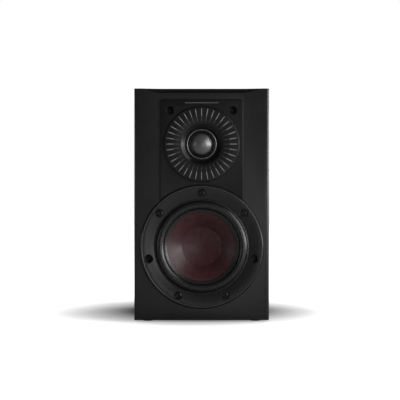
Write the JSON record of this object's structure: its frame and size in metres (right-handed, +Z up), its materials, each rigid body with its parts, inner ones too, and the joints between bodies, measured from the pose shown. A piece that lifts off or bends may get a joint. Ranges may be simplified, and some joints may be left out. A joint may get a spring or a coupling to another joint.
{
  "type": "bookshelf speaker",
  "caption": "Compact two-way bookshelf loudspeaker with a dome tweeter, a paper-cone woofer, a rear reflex port and screw binding posts.",
  "frame": {"origin": "centre of the footprint, on the surface that the rubber feet stand on", "axes": "+Z up; the drive units face -Y, the port and terminals face +Y, and +X is to the right seen from the front"},
  "size_m": [0.162, 0.231, 0.28],
  "materials": {
    "black_wrap": "satin",
    "moulded_black": "satin",
    "foot_rubber": "matte",
    "surround_rubber": "satin",
    "cone_paper": "satin",
    "dome_fabric": "satin",
    "trim_metal": "satin",
    "plated_steel": "satin",
    "ferrite": "matte",
    "black_steel": "satin",
    "gold_plate": "gloss",
    "copper_wire": "gloss",
    "spider_cloth": "matte",
    "foam_gasket": "matte",
    "wadding": "matte",
    "circuit_board": "satin",
    "capacitor_film": "gloss",
    "red_plastic": "gloss",
    "red_insulation": "satin"
  },
  "bodies": {
    "cabinet": {"front_baffle": "black_wrap", "left_side_panel": "black_wrap", "right_side_panel": "black_wrap", "top_panel": "black_wrap", "bottom_panel": "black_wrap", "rear_panel": "black_wrap", "woofer_basket": "moulded_black", "tweeter_faceplate": "moulded_black", "tweeter_waveguide": "moulded_black", "port_tube": "moulded_black", "terminal_cup": "moulded_black", "tweeter_lead": "moulded_black", "foot_front_left": "foot_rubber", "foot_front_right": "foot_rubber", "foot_rear_left": "foot_rubber", "foot_rear_right": "foot_rubber", "grille_socket_lower_left": "foot_rubber", "grille_socket_lower_right": "foot_rubber", "grille_socket_upper_left": "foot_rubber", "grille_socket_upper_right": "foot_rubber", "woofer_surround": "surround_rubber", "tweeter_surround": "surround_rubber", "tweeter_trim_ring": "trim_metal", "woofer_top_plate": "plated_steel", "woofer_yoke": "plated_steel", "tweeter_yoke": "plated_steel", "woofer_magnet": "ferrite", "tweeter_magnet": "ferrite", "tweeter_top_plate": "black_steel", "woofer_screw_1": "black_steel", "woofer_screw_2": "black_steel", "woofer_screw_3": "black_steel", "woofer_screw_4": "black_steel", "woofer_screw_5": "black_steel", "cup_screw_1": "black_steel", "cup_screw_2": "black_steel", "cup_screw_3": "black_steel", "cup_screw_4": "black_steel", "binding_post_black": "gold_plate", "binding_post_red": "gold_plate", "woofer_terminal_strip": "gold_plate", "low_pass_coil": "copper_wire", "high_pass_coil": "copper_wire", "tinsel_lead_left": "copper_wire", "tinsel_lead_right": "copper_wire", "woofer_spider": "spider_cloth", "woofer_gasket": "foam_gasket", "damping_pad": "wadding", "crossover_board": "circuit_board", "tweeter_capacitor": "capacitor_film", "woofer_lead": "red_insulation"},
    "woofer_diaphragm": {"woofer_cone": "cone_paper", "woofer_dust_cap": "cone_paper", "woofer_voice_coil": "copper_wire"},
    "tweeter_diaphragm": {"tweeter_dome": "dome_fabric", "tweeter_voice_coil": "copper_wire"},
    "clamp_black": {"clamp_washer_black": "gold_plate"},
    "clamp_red": {"clamp_washer_red": "gold_plate"},
    "nut_black": {"thumb_nut_black": "moulded_black"},
    "nut_red": {"thumb_nut_red": "red_plastic"}
  },
  "joints": [
    {"name": "woofer_travel", "type": "slide", "parent": "cabinet", "child": "woofer_diaphragm", "axis": [0, -1, 0], "range_m": [-0.004, 0.004], "stiffness_N_per_m": 1200, "deforming": ["woofer_surround", "woofer_spider", "tinsel_lead_left", "tinsel_lead_right"]},
    {"name": "tweeter_travel", "type": "slide", "parent": "cabinet", "child": "tweeter_diaphragm", "axis": [0, -1, 0], "range_m": [-0.0005, 0.0005], "stiffness_N_per_m": 2000, "deforming": ["tweeter_surround"]},
    {"name": "clamp_black_slide", "type": "slide", "parent": "cabinet", "child": "clamp_black", "axis": [0, 1, 0], "range_m": [0, 0.005]},
    {"name": "nut_black_turn", "type": "hinge", "parent": "clamp_black", "child": "nut_black", "pos_m": [0.019, 0.1045, 0.08], "axis": [0, 1, 0], "range_deg": [0, 1800]},
    {"name": "clamp_red_slide", "type": "slide", "parent": "cabinet", "child": "clamp_red", "axis": [0, 1, 0], "range_m": [0, 0.005]},
    {"name": "nut_red_turn", "type": "hinge", "parent": "clamp_red", "child": "nut_red", "pos_m": [-0.019, 0.1045, 0.08], "axis": [0, 1, 0], "range_deg": [0, 1800]}
  ],
  "couplings": [
    {"joint": "nut_black_turn", "follows": "clamp_black_slide", "rad_per_m": 6283},
    {"joint": "nut_red_turn", "follows": "clamp_red_slide", "rad_per_m": 6283}
  ]
}
